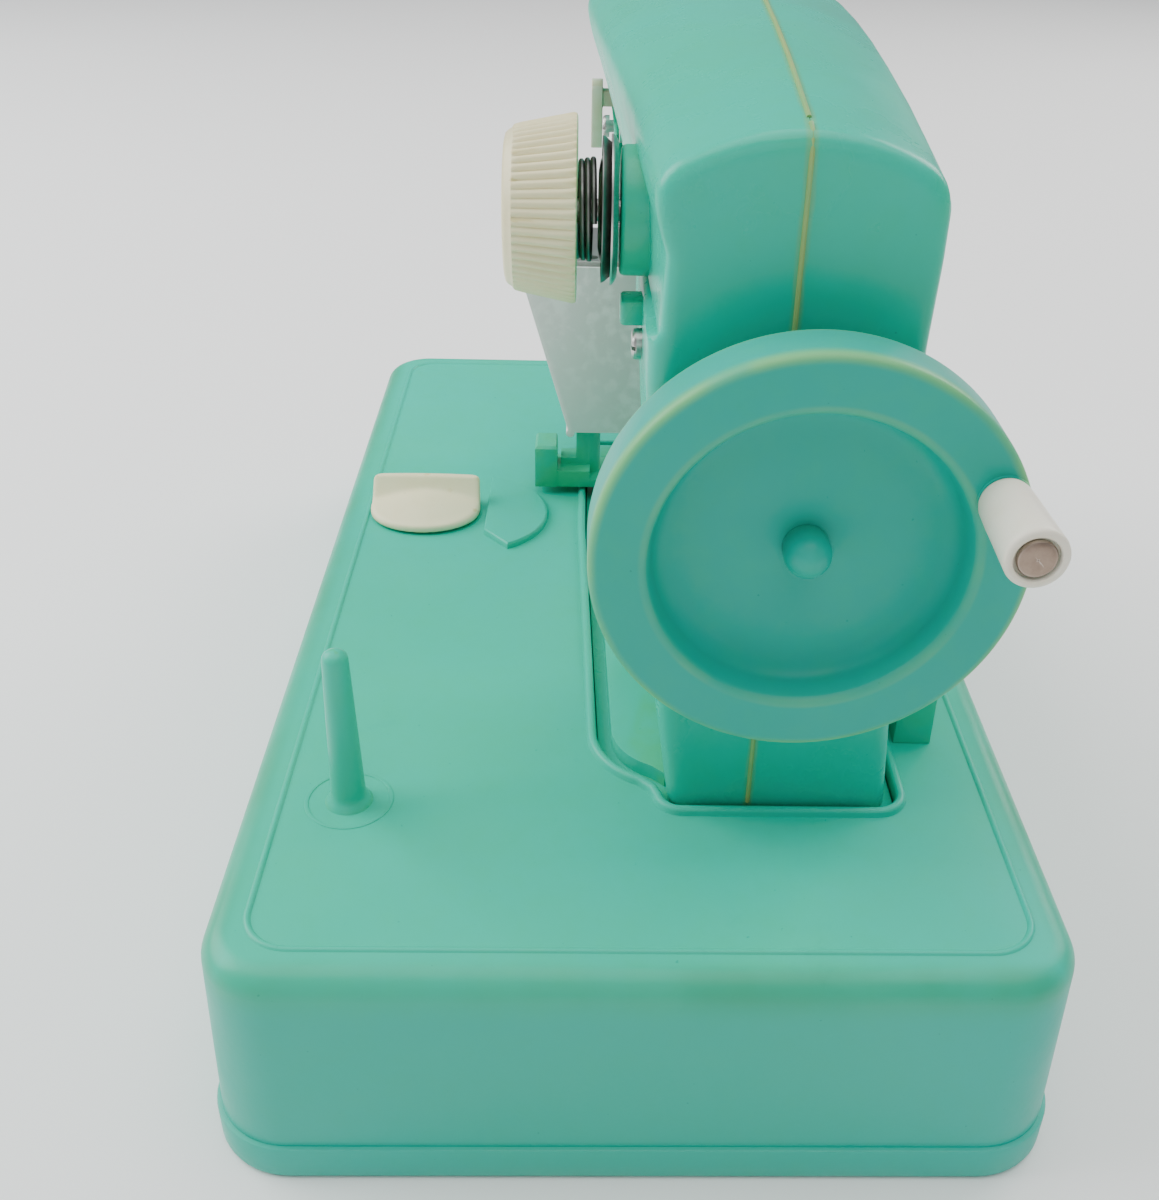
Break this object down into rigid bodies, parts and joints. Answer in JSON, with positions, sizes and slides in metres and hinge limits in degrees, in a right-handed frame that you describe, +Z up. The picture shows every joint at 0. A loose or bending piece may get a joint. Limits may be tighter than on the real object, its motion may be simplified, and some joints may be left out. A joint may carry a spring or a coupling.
{
  "type": "toy sewing machine",
  "caption": "Hand-cranked toy sewing machine: box base, arched arm, handwheel with crank handle, thread tension knob, presser foot, needle bar and looper drive.",
  "frame": {"origin": "middle of the base's underside", "axes": "+X towards the handwheel end, -Y towards the operator, +Z up"},
  "size_m": [0.24, 0.133, 0.1572],
  "materials": {
    "turquoise_plastic": "satin, aged",
    "cream_plastic": "satin, aged",
    "ivory_plastic": "satin",
    "gear_plastic": "moulded",
    "steel": "plain, dull",
    "dark_steel": "blackened",
    "grey_sheet": "satin paint",
    "brass": "dull"
  },
  "bodies": {
    "frame": {"base_shell": "turquoise_plastic", "bottom_pan": "turquoise_plastic", "base_screws": "steel", "spool_pin": "turquoise_plastic", "rear_clamp_block": "turquoise_plastic", "clamp_screw": "steel", "machine_bed": "turquoise_plastic", "throat_plate": "steel", "throat_screws": "steel", "front_body_shell": "turquoise_plastic", "rear_body_shell": "turquoise_plastic", "body_screws": "steel", "head_cover": "grey_sheet", "cover_screws": "steel", "head_bracket": "steel", "bracket_screws": "steel", "main_bush": "ivory_plastic", "gear_frame": "steel", "frame_screws": "steel", "beam_pivot_pin": "steel", "needle_bar_bush": "brass", "looper_pivot_pin": "steel", "feed_guide": "steel", "tension_stud": "steel", "tension_nut": "steel", "tension_disc_inner": "steel", "tension_disc_outer": "dark_steel", "tension_spring": "dark_steel", "presser_spring": "dark_steel"},
    "drive": {"handwheel": "turquoise_plastic", "hub_cap": "turquoise_plastic", "main_shaft": "steel", "main_gear": "gear_plastic", "handle_pin": "steel"},
    "handle": {"crank_handle": "ivory_plastic"},
    "crankshaft": {"crank_shaft": "steel", "crank_pinion": "gear_plastic", "crank_disc": "steel", "looper_cam": "gear_plastic"},
    "beam": {"rocker_beam": "steel", "take_up_lever": "ivory_plastic"},
    "rod": {"connecting_rod": "steel"},
    "needle_assembly": {"needle_bar": "steel", "needle_bar_driver": "gear_plastic", "needle_clamp": "steel", "needle": "steel"},
    "presser": {"presser_bar": "dark_steel", "presser_foot": "turquoise_plastic", "presser_collar": "steel"},
    "feed": {"feed_dog": "steel"},
    "looper": {"looper_lever": "steel", "looper_hook": "steel"},
    "knob": {"tension_knob": "cream_plastic"},
    "lever": {"stitch_lever": "cream_plastic"}
  },
  "joints": [
    {"name": "handwheel_turn", "type": "hinge", "parent": "frame", "child": "drive", "pos_m": [0.09, 0.0209, 0.0969], "axis": [1, 0, 0], "continuous": true},
    {"name": "handle_spin", "type": "hinge", "parent": "drive", "child": "handle", "pos_m": [0.1, 0.04478, 0.10743], "axis": [1, 0, 0], "continuous": true},
    {"name": "crankshaft_turn", "type": "hinge", "parent": "frame", "child": "crankshaft", "pos_m": [0.06, 0.0209, 0.0749], "axis": [1, 0, 0], "continuous": true},
    {"name": "beam_rock", "type": "hinge", "parent": "frame", "child": "beam", "pos_m": [0.006, 0.0115, 0.133], "axis": [0, 1, 0], "range_deg": [-20, 0]},
    {"name": "rod_swing", "type": "hinge", "parent": "beam", "child": "rod", "pos_m": [0.0385, 0.0209, 0.12727], "axis": [0, 1, 0], "range_deg": [0, 20.1]},
    {"name": "needle_bar_slide", "type": "slide", "parent": "frame", "child": "needle_assembly", "axis": [0, 0, 1], "range_m": [-0.0154, 0]},
    {"name": "presser_bar_slide", "type": "slide", "parent": "frame", "child": "presser", "axis": [0, 0, 1], "range_m": [0, 0.006], "stiffness_N_per_m": 200, "springref_m": -0.004, "deforming": ["presser_spring"]},
    {"name": "feed_dog_slide", "type": "slide", "parent": "frame", "child": "feed", "axis": [0, 1, 0], "range_m": [-0.0015, 0.0015]},
    {"name": "looper_swing", "type": "hinge", "parent": "frame", "child": "looper", "pos_m": [0.028, 0.0044, 0.0275], "axis": [0, 0, 1], "range_deg": [0, 4]},
    {"name": "tension_knob_turn", "type": "hinge", "parent": "frame", "child": "knob", "pos_m": [0.052, -0.016, 0.1313], "axis": [0, -1, 0], "range_deg": [-180, 180]},
    {"name": "stitch_lever_turn", "type": "hinge", "parent": "frame", "child": "lever", "pos_m": [-0.022, -0.05, 0.043], "axis": [0, 0, 1], "range_deg": [-20, 20]}
  ],
  "couplings": [
    {"joint": "crankshaft_turn", "follows": "handwheel_turn", "ratio": -1.4444},
    {"joint": "needle_bar_slide", "follows": "beam_rock", "m_per_rad": 0.04377},
    {"joint": "rod_swing", "follows": "beam_rock", "ratio": -1}
  ]
}
